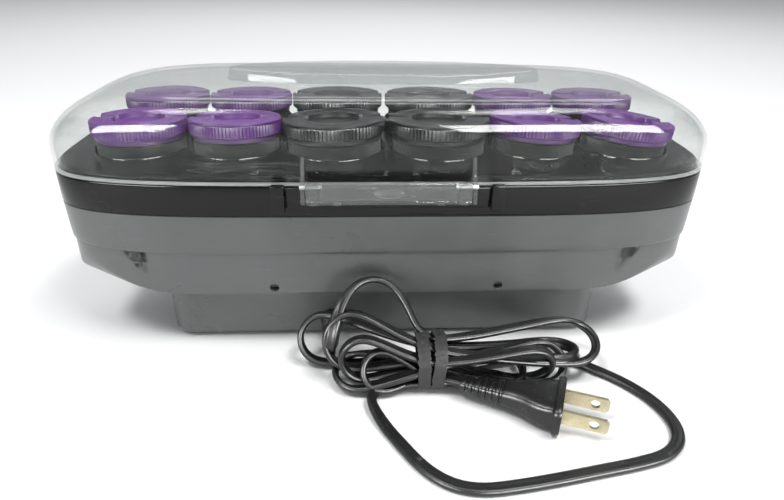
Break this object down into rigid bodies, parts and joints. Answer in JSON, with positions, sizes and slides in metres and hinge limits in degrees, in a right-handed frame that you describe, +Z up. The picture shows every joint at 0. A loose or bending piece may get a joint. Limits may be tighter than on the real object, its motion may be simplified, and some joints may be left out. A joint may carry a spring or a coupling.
{
  "type": "heated hair roller set",
  "caption": "Heated hair-roller set: flocked rollers with ribbed caps on heated posts in a stepped case, clear hinged lid with latch, mains cord and plug.",
  "frame": {"origin": "middle of the case's footprint on the surface it stands on, cord left out", "axes": "+Z up, +X along the case to the right, -Y out of the front with the latch"},
  "size_m": [0.2948, 0.1937, 0.121],
  "materials": {
    "grey_plastic": "satin",
    "black_gloss": "polished",
    "clear_plastic": "clear, faintly smoky",
    "cap_black": "satin",
    "cap_purple": "satin",
    "flock": "velvet flock",
    "cord_rubber": "satin",
    "steel": "bright",
    "aluminium": "cast",
    "brass": "nickel-washed",
    "pale_plastic": "matt"
  },
  "bodies": {
    "case": {"base_housing": "grey_plastic", "pedestal": "grey_plastic", "roller_tray": "black_gloss", "heater_plate": "aluminium", "heating_element": "steel", "thermostat": "steel", "terminal_block": "pale_plastic", "supply_tail": "cord_rubber", "heater_wire_live": "pale_plastic", "heater_wire_neutral": "pale_plastic", "case_screw_1": "steel", "case_screw_2": "steel", "case_screw_3": "steel", "case_screw_4": "steel", "foot_1": "cord_rubber", "foot_2": "cord_rubber", "foot_3": "cord_rubber", "foot_4": "cord_rubber", "hinge_pin_left": "steel", "hinge_pin_right": "steel", "cord_strain_relief": "cord_rubber", "cord_lead": "cord_rubber", "cord_hank": "cord_rubber", "cord_loop": "cord_rubber", "cord_tie": "cord_rubber", "plug_body": "cord_rubber", "plug_blade_near": "brass", "plug_blade_far": "brass"},
    "lid": {"lid": "clear_plastic", "latch_pin_left": "steel", "latch_pin_right": "steel"},
    "latch": {"latch_bar": "clear_plastic"},
    "roller_front_1": {"roller_cap_front_1": "cap_purple", "roller_barrel_front_1": "flock"},
    "roller_front_2": {"roller_cap_front_2": "cap_purple", "roller_barrel_front_2": "flock"},
    "roller_front_3": {"roller_cap_front_3": "cap_black", "roller_barrel_front_3": "flock"},
    "roller_front_4": {"roller_cap_front_4": "cap_black", "roller_barrel_front_4": "flock"},
    "roller_front_5": {"roller_cap_front_5": "cap_purple", "roller_barrel_front_5": "flock"},
    "roller_front_6": {"roller_cap_front_6": "cap_purple", "roller_barrel_front_6": "flock"},
    "roller_back_1": {"roller_cap_back_1": "cap_purple", "roller_barrel_back_1": "flock"},
    "roller_back_2": {"roller_cap_back_2": "cap_purple", "roller_barrel_back_2": "flock"},
    "roller_back_3": {"roller_cap_back_3": "cap_black", "roller_barrel_back_3": "flock"},
    "roller_back_4": {"roller_cap_back_4": "cap_black", "roller_barrel_back_4": "flock"},
    "roller_back_5": {"roller_cap_back_5": "cap_purple", "roller_barrel_back_5": "flock"},
    "roller_back_6": {"roller_cap_back_6": "cap_purple", "roller_barrel_back_6": "flock"}
  },
  "joints": [
    {"name": "lid_hinge", "type": "hinge", "parent": "case", "child": "lid", "pos_m": [0, 0.0532, 0.0842], "axis": [-1, 0, 0], "range_deg": [0, 100]},
    {"name": "latch_pivot", "type": "hinge", "parent": "lid", "child": "latch", "pos_m": [0, -0.0538, 0.0838], "axis": [-1, 0, 0], "range_deg": [0, 60]},
    {"name": "spin_front_1", "type": "hinge", "parent": "case", "child": "roller_front_1", "pos_m": [-0.1065, -0.0228, 0.09], "axis": [0, 0.0436, 0.999], "continuous": true},
    {"name": "spin_front_2", "type": "hinge", "parent": "case", "child": "roller_front_2", "pos_m": [-0.0656, -0.0228, 0.09], "axis": [0, 0.0958, 0.9954], "continuous": true},
    {"name": "spin_front_3", "type": "hinge", "parent": "case", "child": "roller_front_3", "pos_m": [-0.023, -0.0228, 0.09], "axis": [-0.0226, 0.0698, 0.9973], "continuous": true},
    {"name": "spin_front_4", "type": "hinge", "parent": "case", "child": "roller_front_4", "pos_m": [0.023, -0.0228, 0.09], "axis": [0, 0.0698, 0.9976], "continuous": true},
    {"name": "spin_front_5", "type": "hinge", "parent": "case", "child": "roller_front_5", "pos_m": [0.0656, -0.0228, 0.09], "axis": [0.0521, 0.0958, 0.994], "continuous": true},
    {"name": "spin_front_6", "type": "hinge", "parent": "case", "child": "roller_front_6", "pos_m": [0.1065, -0.0228, 0.09], "axis": [0.1044, 0.0436, 0.9936], "continuous": true},
    {"name": "spin_back_1", "type": "hinge", "parent": "case", "child": "roller_back_1", "pos_m": [-0.1065, 0.0224, 0.09], "axis": [0, 0.0436, 0.999], "continuous": true},
    {"name": "spin_back_2", "type": "hinge", "parent": "case", "child": "roller_back_2", "pos_m": [-0.0656, 0.0224, 0.09], "axis": [0, 0.061, 0.9981], "continuous": true},
    {"name": "spin_back_3", "type": "hinge", "parent": "case", "child": "roller_back_3", "pos_m": [-0.023, 0.0224, 0.09], "axis": [0, 0.061, 0.9981], "continuous": true},
    {"name": "spin_back_4", "type": "hinge", "parent": "case", "child": "roller_back_4", "pos_m": [0.023, 0.0224, 0.09], "axis": [0, 0.061, 0.9981], "continuous": true},
    {"name": "spin_back_5", "type": "hinge", "parent": "case", "child": "roller_back_5", "pos_m": [0.0656, 0.0224, 0.09], "axis": [0, 0.061, 0.9981], "continuous": true},
    {"name": "spin_back_6", "type": "hinge", "parent": "case", "child": "roller_back_6", "pos_m": [0.1065, 0.0224, 0.09], "axis": [0, 0.0436, 0.999], "continuous": true}
  ]
}
